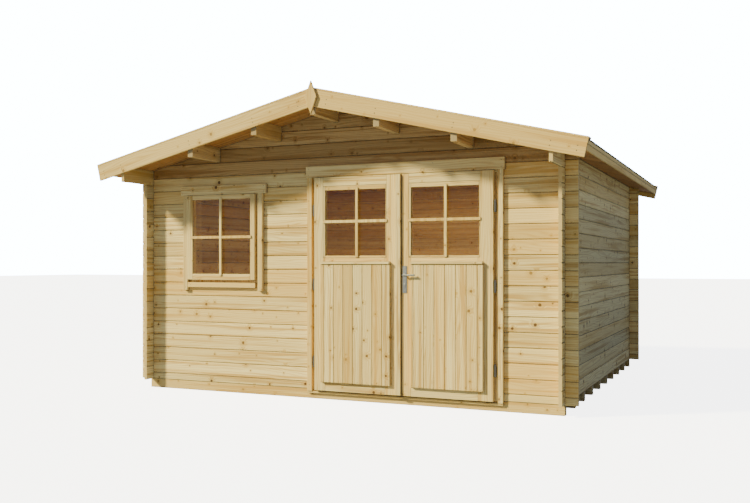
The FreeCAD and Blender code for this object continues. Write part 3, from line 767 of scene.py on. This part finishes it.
glazing_cross(mesh, SASH_BAR_X, SASH_BAR_Z, px0 - LAP, px1 + LAP, pz0 - LAP, pz1 + LAP, low.y)
finish_piece(mesh, "sash_glazing_bars", trim_pine_z, "house")
soft_copy("window_frame_posts", "window_frame", trim_pine_z, "house")

low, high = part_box("window_trims")
mesh = start_mesh()
HEAD_Z = 1.773
LEFT_CASING = (-1.549, -1.503)
RIGHT_CASING = (-0.758, -0.710)
SILL_STRIP = (0.939, 0.984)
STRIP_END = -0.783
add_board(mesh, box_corners(low.x, high.x, low.y, high.y, HEAD_Z, high.z), bevel=0.0018, segments=2)
strip = box_corners(LEFT_CASING[1] + PLAY, STRIP_END, low.y, high.y, *SILL_STRIP)
add_board(mesh, strip, bevel=0.0018, segments=2)
finish_piece(mesh, "window_cross_casings", trim_pine_x, "house", ["window_trims"])
mesh = start_mesh()
for xa, xb in (LEFT_CASING, RIGHT_CASING):
    add_board(mesh, box_corners(xa, xb, low.y, high.y, low.z, HEAD_Z - PLAY), bevel=0.0018, segments=2)
finish_piece(mesh, "window_side_casings", trim_pine_z, "house")
middles = [0.5 * sum(LEFT_CASING), 0.5 * sum(RIGHT_CASING)]
spots = [(x, low.y, z) for x in middles for z in (0.94, 1.22, 1.50, 1.74)]
for x in (-1.555, -1.13, -0.695):
    spots += [(x, low.y, z) for z in (HEAD_Z + 0.017, high.z - 0.018)]
spots += [(x, low.y, 0.5 * sum(SILL_STRIP)) for x in (-1.47, -0.815)]
nail("window_casing_nails", spots, (0, -1, 0), radius=0.0026)


# Studio: a plain pale floor, one key light from the upper left front and soft light all round.
# A weak warm lamp under the roof lights the empty room.
floor_look = bpy.data.materials.new("Pale floor")
floor_look.use_nodes = True
t = floor_look.node_tree
seen = tree_node(t, "LightPath").outputs["Is Camera Ray"]
shader = t.nodes["Principled BSDF"]
colour = blend_colours(t, seen, (0.25, 0.29, 0.37, 1), (0.95, 0.95, 0.95, 1))
t.links.new(colour, shader.inputs["Base Color"])
shader.inputs["Roughness"].default_value = 0.9
shader.inputs["Emission Color"].default_value = (1, 1, 1, 1)
t.links.new(calc(t, "MULTIPLY", seen, 5.0), shader.inputs["Emission Strength"])
bpy.ops.mesh.primitive_plane_add(size=120.0, location=(0, 0, 0))
ground = bpy.context.object
ground.name = "studio_floor"
ground.data.materials.append(floor_look)

world = bpy.data.worlds.new("Studio")
bpy.context.scene.world = world
world.use_nodes = True
t = world.node_tree
path = tree_node(t, "LightPath").outputs
t.nodes["Background"].inputs["Color"].default_value = (0.80, 0.93, 1.12, 1)
strength = calc(t, "MULTIPLY_ADD", path["Is Camera Ray"], 17.0, 0.34)
strength = calc(t, "MULTIPLY_ADD", path["Is Glossy Ray"], 0.25, strength)
t.links.new(strength, t.nodes["Background"].inputs["Strength"])


def add_light(name, kind, energy, colour, **settings):
    data = bpy.data.lights.new(name, kind)
    data.energy = energy
    data.color = colour
    for key, value in settings.items():
        setattr(data, key, value)
    made = bpy.data.objects.new(name, data)
    bpy.context.scene.collection.objects.link(made)
    return made


key_light = add_light("Key", "SUN", 7.9, (1.0, 0.90, 0.48), angle=math.radians(5.5))
key_light.rotation_mode = "QUATERNION"
key_light.rotation_quaternion = Vector((1.4, 1.0, -1.10)).to_track_quat("-Z", "Y")
room_light = add_light("Room", "AREA", 17.0, (1.0, 0.76, 0.42), size=1.6)
room_light.location = (0.0, 0.3, 2.1)
room_light.visible_camera = False
room_light.visible_transmission = False
room_light.visible_glossy = False

camera_data = bpy.data.cameras.new("Camera")
camera = bpy.data.objects.new("Camera", camera_data)
bpy.context.scene.collection.objects.link(camera)
camera.location = (3.301, -8.349, 1.159)
camera.rotation_euler = (math.radians(90.0), 0.0, math.radians(24.017))
camera_data.sensor_width = 36.0
camera_data.lens = 41.795
camera_data.shift_y = 0.0153
camera_data.clip_end = 300.0
bpy.context.scene.camera = camera
